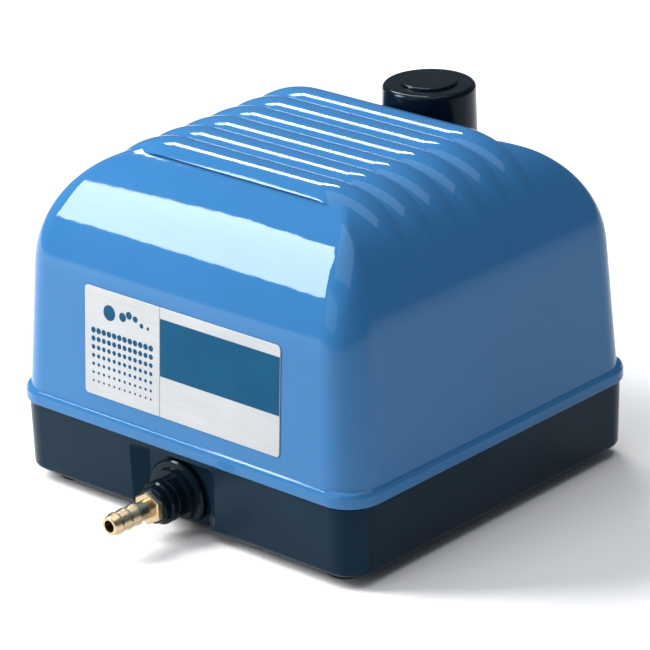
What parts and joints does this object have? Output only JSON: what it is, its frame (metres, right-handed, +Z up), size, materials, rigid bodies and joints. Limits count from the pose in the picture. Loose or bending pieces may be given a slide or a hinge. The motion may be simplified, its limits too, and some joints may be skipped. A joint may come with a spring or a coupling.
{
  "type": "air pump",
  "caption": "Box-shaped diaphragm air pump with a domed ribbed cover over a shallow base pan, a front hose barb and a lift-off round filter cap at the rear.",
  "frame": {"origin": "on the ground under the middle of the overall length and width", "axes": "+Z up, -Y towards the front with the label and hose barb, +X to the right-hand side seen from the front"},
  "size_m": [0.205, 0.2478, 0.1634],
  "materials": {
    "blue_housing": "glossy moulded, mid blue",
    "black_housing": "glossy moulded, blue-black",
    "black_rubber": "matte",
    "label_print": "satin silver film with printed panels",
    "black_fitting": "semi-gloss moulded",
    "brass": "turned, slightly dull nickel-brass",
    "filter_foam": "open-cell foam",
    "damping_foam": "closed-cell foam sheet",
    "zinc_steel": "zinc-plated sheet",
    "fastener_steel": "zinc-plated",
    "lamination_steel": "varnished laminations",
    "copper_winding": "enamelled copper wire under clear tape",
    "bobbin_nylon": "natural nylon",
    "arm_aluminium": "extruded, sawn ends",
    "magnet_nickel": "nickel-plated",
    "chamber_plastic": "glass-filled nylon",
    "gasket_rubber": "matte",
    "tube_rubber": "satin",
    "terminal_plastic": "natural polyamide",
    "lead_insulation": "silicone sleeve"
  },
  "bodies": {
    "casing": {"cover": "blue_housing", "base_pan": "black_housing", "cover_gasket": "gasket_rubber", "rubber_feet": "black_rubber", "cover_screws": "fastener_steel", "label_plate": "label_print", "damping_pad": "damping_foam", "outlet_connector": "black_fitting", "outlet_seal": "gasket_rubber", "outlet_nut": "black_fitting", "hose_barb": "brass", "outlet_manifold": "chamber_plastic", "air_tube_left": "tube_rubber", "air_tube_right": "tube_rubber", "filter_seal": "gasket_rubber", "filter_housing": "black_fitting", "filter_nut": "black_fitting", "chassis_plate": "zinc_steel", "vibration_mounts": "black_rubber", "stator_core": "lamination_steel", "stator_pedestals": "arm_aluminium", "core_bolts": "fastener_steel", "coil_bobbin": "bobbin_nylon", "coil_winding": "copper_winding", "pivot_bracket": "zinc_steel", "pivot_pins": "fastener_steel", "cable_gland": "black_fitting", "gland_locknut": "black_fitting", "gland_cap": "black_fitting", "terminal_block": "terminal_plastic", "terminal_screws": "fastener_steel", "coil_leads": "lead_insulation", "diaphragm_left": "black_rubber", "chamber_left": "chamber_plastic", "valve_plate_left": "chamber_plastic", "chamber_gasket_left": "gasket_rubber", "chamber_cover_left": "chamber_plastic", "chamber_screws_left": "fastener_steel", "diaphragm_right": "black_rubber", "chamber_right": "chamber_plastic", "valve_plate_right": "chamber_plastic", "chamber_gasket_right": "gasket_rubber", "chamber_cover_right": "chamber_plastic", "chamber_screws_right": "fastener_steel"},
    "left_arm": {"swing_arm_left": "arm_aluminium", "arm_bush_left": "bobbin_nylon", "arm_magnet_left": "magnet_nickel", "diaphragm_stud_left": "fastener_steel"},
    "right_arm": {"swing_arm_right": "arm_aluminium", "arm_bush_right": "bobbin_nylon", "arm_magnet_right": "magnet_nickel", "diaphragm_stud_right": "fastener_steel"},
    "filter_cap": {"filter_cap": "black_fitting"},
    "filter_foam": {"filter_foam": "filter_foam"},
    "left_inlet_flap": {"inlet_flap_left": "tube_rubber"},
    "left_outlet_flap": {"outlet_flap_left": "tube_rubber"},
    "right_inlet_flap": {"inlet_flap_right": "tube_rubber"},
    "right_outlet_flap": {"outlet_flap_right": "tube_rubber"}
  },
  "joints": [
    {"name": "left_arm_swing", "type": "hinge", "parent": "casing", "child": "left_arm", "pos_m": [-0.016, -0.0601, 0.057], "axis": [0, 0, 1], "range_deg": [-2, 2], "stiffness_Nm_per_rad": 5, "deforming": ["diaphragm_left"]},
    {"name": "right_arm_swing", "type": "hinge", "parent": "casing", "child": "right_arm", "pos_m": [0.016, -0.0601, 0.057], "axis": [0, 0, 1], "range_deg": [-2, 2], "stiffness_Nm_per_rad": 5, "deforming": ["diaphragm_right"]},
    {"name": "filter_cap_lift", "type": "slide", "parent": "casing", "child": "filter_cap", "axis": [0, 0, 1], "range_m": [0, 0.06]},
    {"name": "filter_foam_lift", "type": "slide", "parent": "casing", "child": "filter_foam", "axis": [0, 0, 1], "range_m": [0, 0.03]},
    {"name": "left_inlet_flap_hinge", "type": "hinge", "parent": "casing", "child": "left_inlet_flap", "pos_m": [-0.0458, -0.0341, 0.072], "axis": [0, -1, 0], "range_deg": [0, 20], "stiffness_Nm_per_rad": 0.002},
    {"name": "left_outlet_flap_hinge", "type": "hinge", "parent": "casing", "child": "left_outlet_flap", "pos_m": [-0.0492, -0.0341, 0.053], "axis": [0, 1, 0], "range_deg": [0, 20], "stiffness_Nm_per_rad": 0.002},
    {"name": "right_inlet_flap_hinge", "type": "hinge", "parent": "casing", "child": "right_inlet_flap", "pos_m": [0.0458, -0.0341, 0.072], "axis": [0, 1, 0], "range_deg": [0, 20], "stiffness_Nm_per_rad": 0.002},
    {"name": "right_outlet_flap_hinge", "type": "hinge", "parent": "casing", "child": "right_outlet_flap", "pos_m": [0.0492, -0.0341, 0.053], "axis": [0, -1, 0], "range_deg": [0, 20], "stiffness_Nm_per_rad": 0.002}
  ],
  "couplings": [
    {"joint": "right_arm_swing", "follows": "left_arm_swing", "ratio": -1},
    {"joint": "filter_foam_lift", "follows": "filter_cap_lift", "ratio": 0.5}
  ]
}
